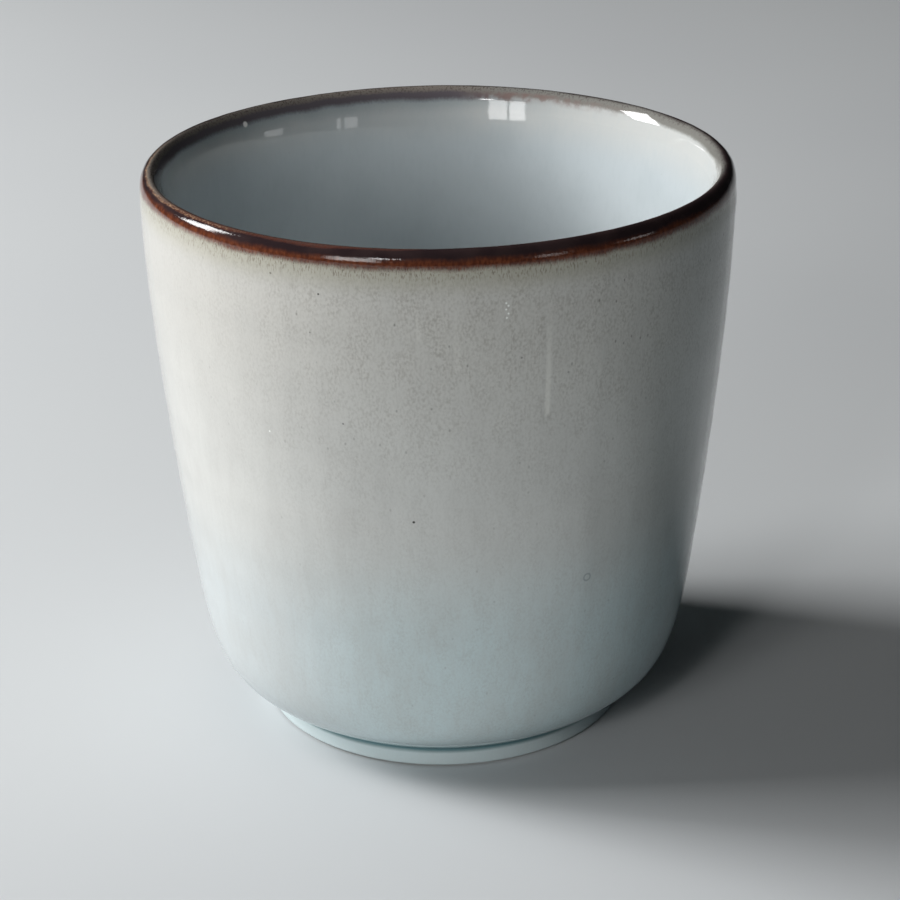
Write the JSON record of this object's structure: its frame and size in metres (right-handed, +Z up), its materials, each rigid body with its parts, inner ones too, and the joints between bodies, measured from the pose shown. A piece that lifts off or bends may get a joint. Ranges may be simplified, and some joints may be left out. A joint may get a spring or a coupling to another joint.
{
  "type": "coffee cup",
  "caption": "Round stoneware coffee cup without a handle, on a low foot ring, with a pale glaze outside and inside and an iron-brown band over the lip.",
  "frame": {"origin": "on the table, on the axis of the cup, in the plane of the foot ring's bare underside", "axes": "+Z up along the axis of the cup, out of its mouth; X and Y are free because the cup is round"},
  "size_m": [0.088, 0.088, 0.0871],
  "materials": {
    "clay": "unglazed fired stoneware, dry and slightly grainy",
    "foot_clay": "bare fired stoneware, smoothed where it stands",
    "pale_glaze": "glossy pale grey reactive glaze with fine speckle",
    "iron_glaze": "glossy iron-brown glaze, rust coloured where it thins",
    "liner_glaze": "glossy pale blue-grey glaze",
    "base_glaze": "pale glaze, a little thicker at its edge"
  },
  "bodies": {
    "root": {"stoneware_body": "clay", "foot_ring": "foot_clay", "outer_glaze": "pale_glaze", "rim_glaze": "iron_glaze", "liner_glaze": "liner_glaze", "base_glaze": "base_glaze"}
  },
  "joints": []
}
